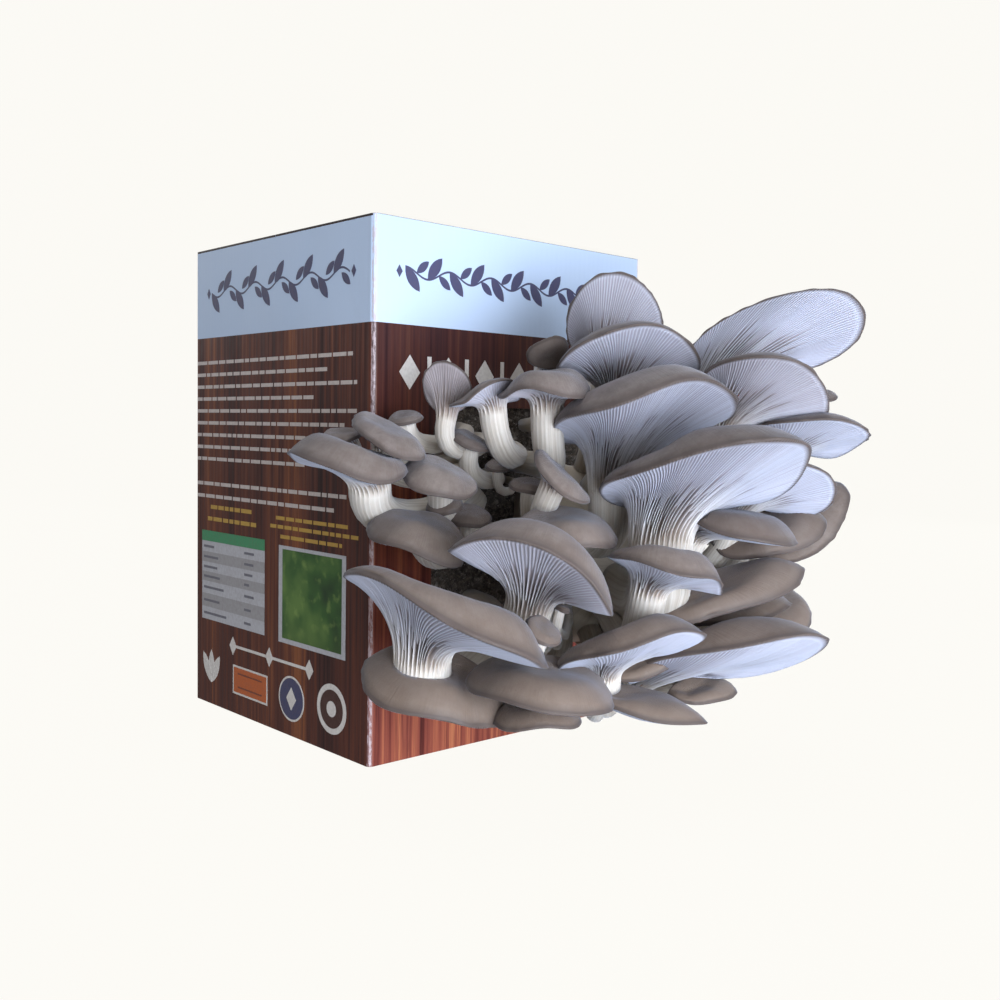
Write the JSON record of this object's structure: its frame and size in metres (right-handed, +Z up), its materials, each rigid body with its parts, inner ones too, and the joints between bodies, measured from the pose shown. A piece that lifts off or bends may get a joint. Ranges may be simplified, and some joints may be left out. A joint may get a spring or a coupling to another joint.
{
  "type": "oyster mushroom grow kit",
  "caption": "Upright printed carton with a window in its front and a closed top, holding a block of growing medium; a dense cluster of gilled fan-shaped mushrooms grows out of the window.",
  "frame": {"origin": "middle of the carton's resting face", "axes": "+Z up; -Y out of the front with the window and the mushrooms; +X to the right along the front, seen from before it"},
  "size_m": [0.2228, 0.3156, 0.229],
  "materials": {
    "card": "semi-gloss print: pale band over dark wood grain",
    "growing_medium": "matte, crumbly, pressed sawdust",
    "stem_flesh": "satin, smooth",
    "mushroom": "satin taupe cap, pale lavender gills, cream stem"
  },
  "bodies": {
    "root": {"carton": "card", "substrate_block": "growing_medium", "stem_foot": "stem_flesh", "mushroom_top_1": "mushroom", "mushroom_top_2": "mushroom", "mushroom_top_3": "mushroom", "mushroom_top_4": "mushroom", "mushroom_right_1": "mushroom", "mushroom_right_2": "mushroom", "mushroom_right_3": "mushroom", "mushroom_right_4": "mushroom", "mushroom_right_5": "mushroom", "mushroom_right_6": "mushroom", "mushroom_right_7": "mushroom", "mushroom_right_8": "mushroom", "mushroom_right_9": "mushroom", "mushroom_right_10": "mushroom", "mushroom_right_11": "mushroom", "mushroom_right_12": "mushroom", "mushroom_low_1": "mushroom", "mushroom_low_2": "mushroom", "mushroom_low_3": "mushroom", "mushroom_low_4": "mushroom", "mushroom_low_5": "mushroom", "mushroom_low_6": "mushroom", "mushroom_low_7": "mushroom", "mushroom_low_8": "mushroom", "mushroom_low_9": "mushroom", "mushroom_low_10": "mushroom", "mushroom_low_11": "mushroom", "mushroom_left_1": "mushroom", "mushroom_left_2": "mushroom", "mushroom_left_3": "mushroom", "mushroom_left_4": "mushroom", "mushroom_left_5": "mushroom", "mushroom_left_6": "mushroom", "mushroom_left_7": "mushroom", "mushroom_left_8": "mushroom", "mushroom_left_9": "mushroom", "mushroom_left_10": "mushroom", "mushroom_small_1": "mushroom", "mushroom_small_2": "mushroom", "mushroom_small_3": "mushroom", "mushroom_small_4": "mushroom", "mushroom_small_5": "mushroom", "mushroom_small_6": "mushroom", "mushroom_small_7": "mushroom", "mushroom_pin_1": "mushroom", "mushroom_pin_2": "mushroom"}
  },
  "joints": []
}
